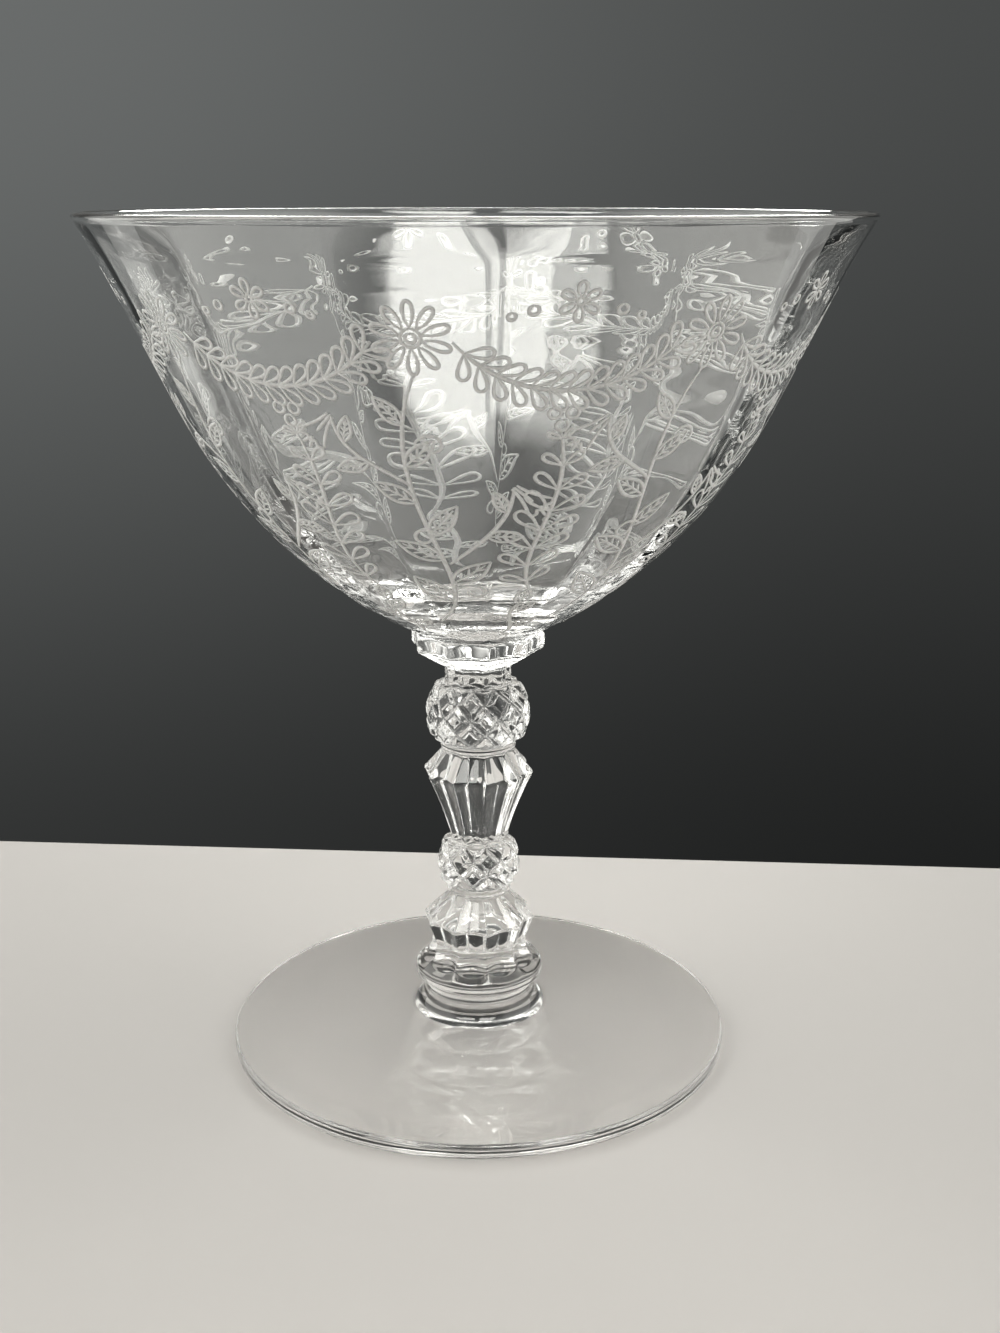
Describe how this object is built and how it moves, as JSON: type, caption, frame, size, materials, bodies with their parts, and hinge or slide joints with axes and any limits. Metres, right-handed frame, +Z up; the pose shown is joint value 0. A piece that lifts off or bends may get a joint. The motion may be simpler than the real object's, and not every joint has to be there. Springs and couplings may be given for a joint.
{
  "type": "sherbet glass",
  "caption": "Low stemmed sherbet glass: flaring bowl with soft optic panels and an etched floral band, on a faceted pressed stem with diamond-cut balls and a round foot.",
  "frame": {"origin": "on the axis, at the level of the table that the foot stands on", "axes": "+Z up along the axis of the glass, -Y towards the front"},
  "size_m": [0.1084, 0.1084, 0.124],
  "materials": {
    "clear_glass": "fire-polished clear crystal, smooth and bright",
    "etched_frost": "acid-etched matt white line work on the outer face of the bowl"
  },
  "bodies": {
    "root": {"bowl": "clear_glass", "stem": "clear_glass", "foot": "clear_glass"}
  },
  "joints": []
}
